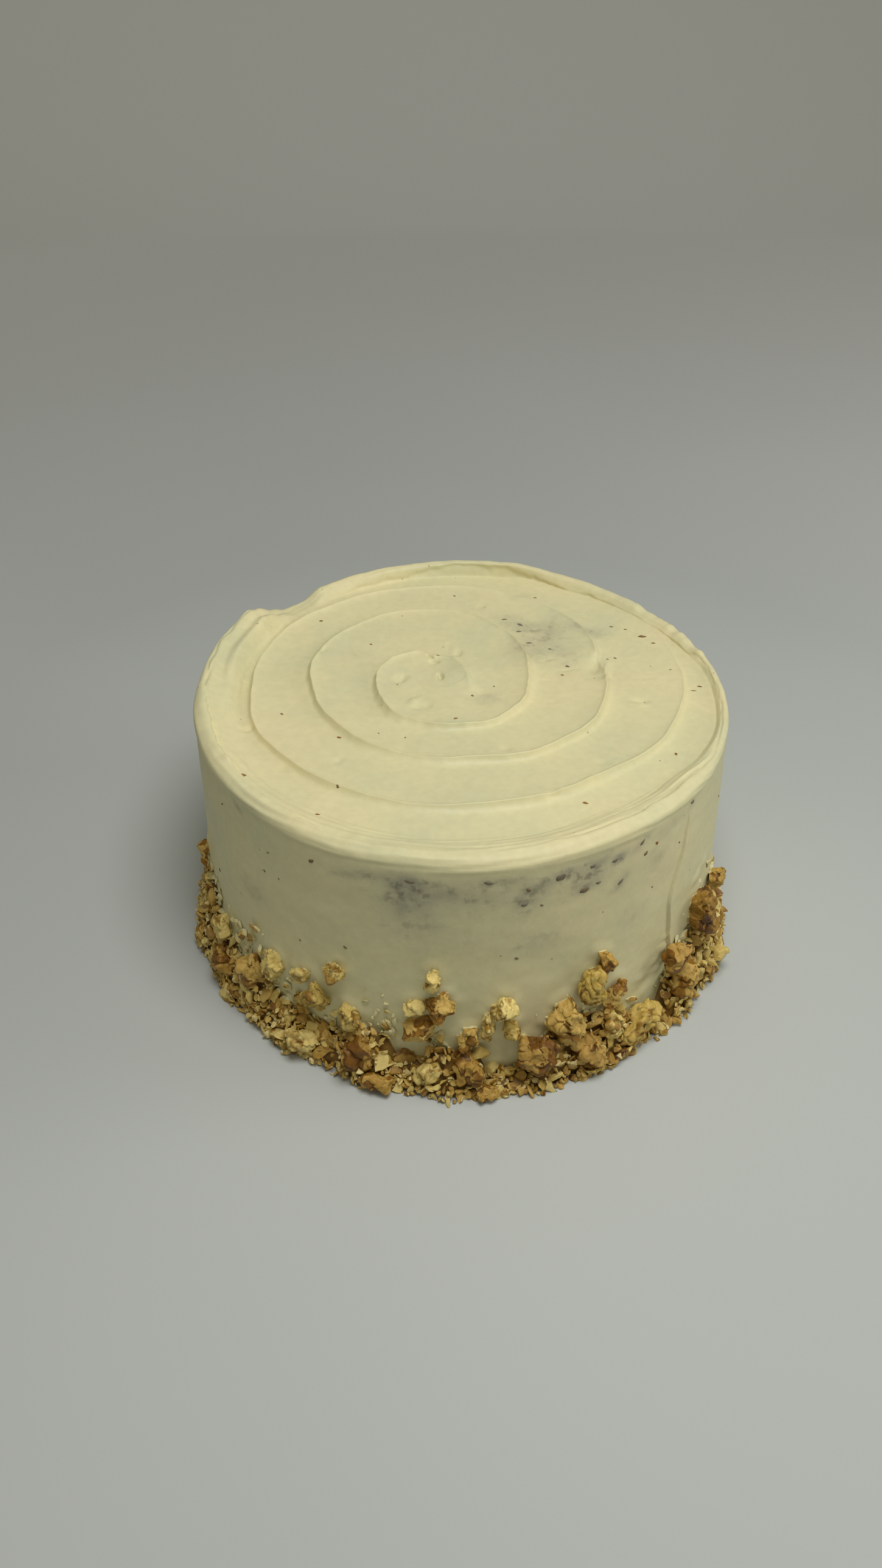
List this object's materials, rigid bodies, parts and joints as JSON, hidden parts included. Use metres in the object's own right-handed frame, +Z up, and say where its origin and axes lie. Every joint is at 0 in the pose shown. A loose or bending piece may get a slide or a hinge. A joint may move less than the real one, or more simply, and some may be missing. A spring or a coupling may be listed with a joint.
{
  "type": "carrot cake",
  "caption": "Round cream-frosted cake with a spiral-spread top, a ragged raised rim and chopped walnuts pressed round its foot.",
  "frame": {"origin": "centre of the flat underside, on the surface the cake stands on", "axes": "+Z up through the cake; -Y is the front, the side with the scraper seam to its right; +X is the right"},
  "size_m": [0.1798, 0.1895, 0.0874],
  "materials": {
    "cream_frosting": "satin cream cheese frosting",
    "walnut_crumb": "rough chopped walnut",
    "walnut_pale": "freshly broken walnut",
    "walnut_amber": "walnut with amber skin",
    "walnut_brown": "walnut with dark brown skin"
  },
  "bodies": {
    "root": {"frosted_cake": "cream_frosting", "walnut_crumbs": "walnut_crumb", "walnut_01": "walnut_pale", "walnut_02": "walnut_amber", "walnut_03": "walnut_pale", "walnut_04": "walnut_amber", "walnut_05": "walnut_pale", "walnut_06": "walnut_pale", "walnut_07": "walnut_brown", "walnut_08": "walnut_amber", "walnut_09": "walnut_pale", "walnut_10": "walnut_amber", "walnut_11": "walnut_brown", "walnut_12": "walnut_pale", "walnut_13": "walnut_pale", "walnut_14": "walnut_pale", "walnut_15": "walnut_brown", "walnut_16": "walnut_amber", "walnut_17": "walnut_brown", "walnut_18": "walnut_amber", "walnut_19": "walnut_brown", "walnut_20": "walnut_amber", "walnut_21": "walnut_amber", "walnut_22": "walnut_pale", "walnut_23": "walnut_amber", "walnut_24": "walnut_pale", "walnut_25": "walnut_pale", "walnut_26": "walnut_pale", "walnut_27": "walnut_amber", "walnut_28": "walnut_pale", "walnut_29": "walnut_pale", "walnut_30": "walnut_amber", "walnut_31": "walnut_pale", "walnut_32": "walnut_amber", "walnut_33": "walnut_pale", "walnut_34": "walnut_pale", "walnut_35": "walnut_amber", "walnut_36": "walnut_amber", "walnut_37": "walnut_brown", "walnut_38": "walnut_amber", "walnut_39": "walnut_pale", "walnut_40": "walnut_pale", "walnut_41": "walnut_amber", "walnut_42": "walnut_brown", "walnut_43": "walnut_pale", "walnut_44": "walnut_amber"}
  },
  "joints": []
}
